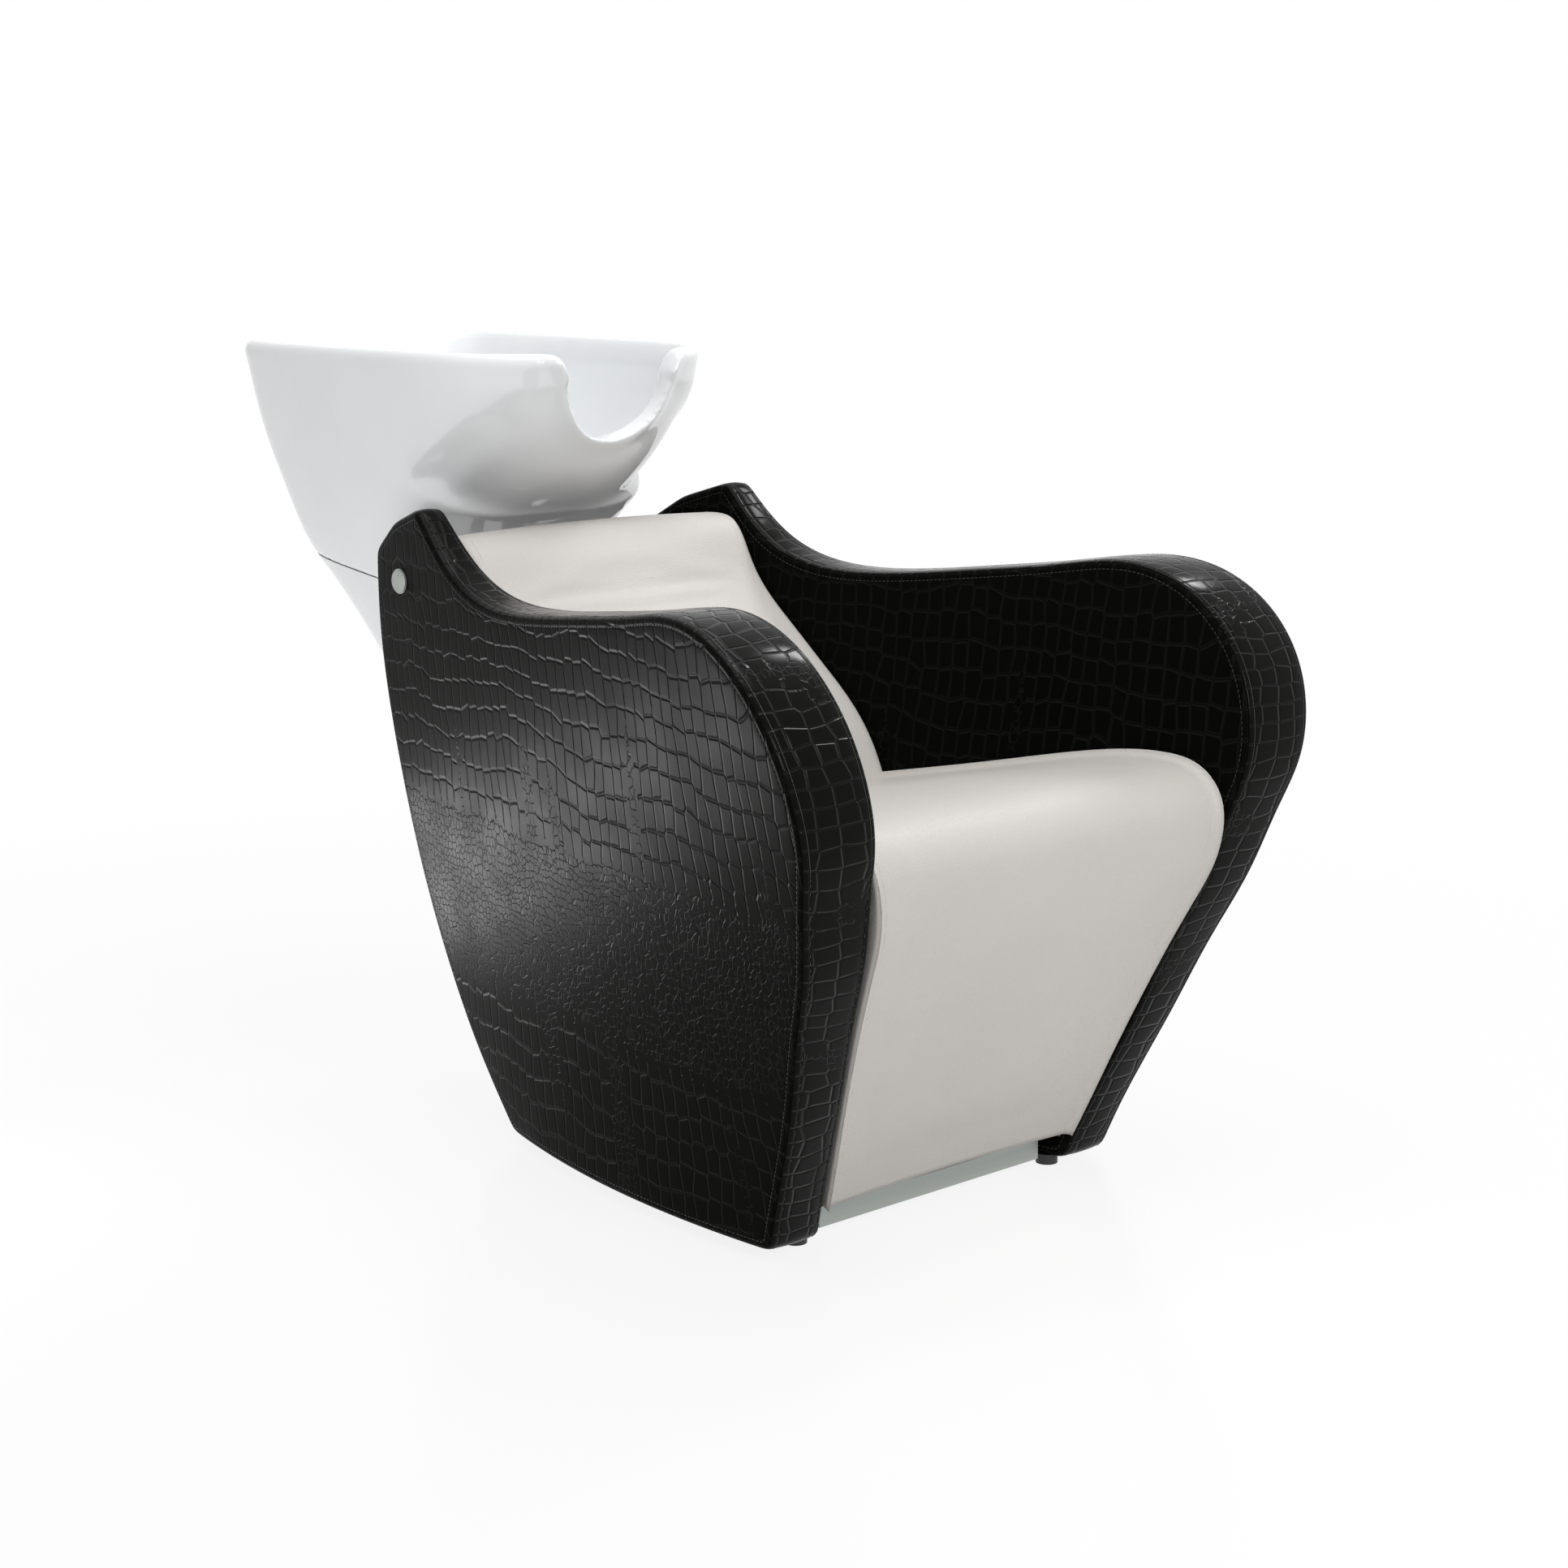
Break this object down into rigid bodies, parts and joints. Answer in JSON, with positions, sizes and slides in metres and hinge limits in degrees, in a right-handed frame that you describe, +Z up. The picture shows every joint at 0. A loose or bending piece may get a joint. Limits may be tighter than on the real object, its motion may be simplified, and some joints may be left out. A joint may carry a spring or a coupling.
{
  "type": "shampoo basin chair",
  "caption": "Salon wash unit: reclined upholstered chair between splayed side panels, with a tilting ceramic basin behind the back, neck notch at its front.",
  "frame": {"origin": "on the floor, under the middle of the whole object's box", "axes": "+Z up, the sitter faces -Y, +X to the sitter's left"},
  "size_m": [0.8222, 1.3115, 0.932],
  "materials": {
    "leatherette_black": "gloss",
    "leatherette_pale": "satin",
    "plywood": "matt",
    "satin_steel": "satin",
    "cover_sheet": "satin",
    "frame_steel": "satin",
    "black_plastic": "matt",
    "rubber": "matt",
    "bearing_plastic": "matt",
    "ceramic": "gloss",
    "white_plastic": "gloss",
    "chrome": "polished",
    "pipe_plastic": "satin",
    "zinc_steel": "satin"
  },
  "bodies": {
    "chair": {"base_frame": "frame_steel", "seat_board": "plywood", "front_board": "plywood", "back_board": "plywood", "seat_cushion": "leatherette_pale", "back_cushion": "leatherette_pale", "kick_plate": "satin_steel", "rear_cover": "cover_sheet", "cross_tube": "frame_steel", "glides": "black_plastic", "hinge_bracket": "frame_steel", "hinge_pin": "zinc_steel", "pin_nut": "zinc_steel", "stop_rod": "zinc_steel", "stop_sleeve": "rubber", "friction_washers": "bearing_plastic", "bracket_bolts": "zinc_steel", "seat_screws": "zinc_steel", "back_screws": "zinc_steel", "kick_screws": "zinc_steel", "side_outer_left": "leatherette_black", "side_outer_right": "leatherette_black", "side_inner_left": "leatherette_black", "side_inner_right": "leatherette_black", "side_band_left": "leatherette_black", "side_band_right": "leatherette_black", "side_core_left": "plywood", "side_core_right": "plywood", "panel_bolts_left": "zinc_steel", "panel_bolts_right": "zinc_steel", "cap_left": "satin_steel", "cap_right": "satin_steel", "cross_bolt_left": "zinc_steel", "cross_bolt_right": "zinc_steel"},
    "basin_unit": {"basin": "ceramic", "lower_cover": "white_plastic", "carrier": "frame_steel", "gasket": "rubber", "carrier_bolts": "zinc_steel", "hinge_bushes": "bearing_plastic", "waste_flange": "chrome", "waste_seal": "rubber", "nut_washer": "rubber", "waste_nut": "pipe_plastic", "tail_pipe": "pipe_plastic"},
    "strainer": {"strainer": "chrome"},
    "lever": {"lock_lever": "zinc_steel", "lever_knob": "black_plastic"}
  },
  "joints": [
    {"name": "basin_tilt", "type": "hinge", "parent": "chair", "child": "basin_unit", "pos_m": [0, 0.3118, 0.578], "axis": [-1, 0, 0], "range_deg": [0, 14]},
    {"name": "lever_swing", "type": "hinge", "parent": "basin_unit", "child": "lever", "pos_m": [0.0566, 0.3118, 0.578], "axis": [1, 0, 0], "range_deg": [0, 30]},
    {"name": "strainer_lift", "type": "slide", "parent": "basin_unit", "child": "strainer", "axis": [0, 0, 1], "range_m": [0, 0.06]}
  ]
}
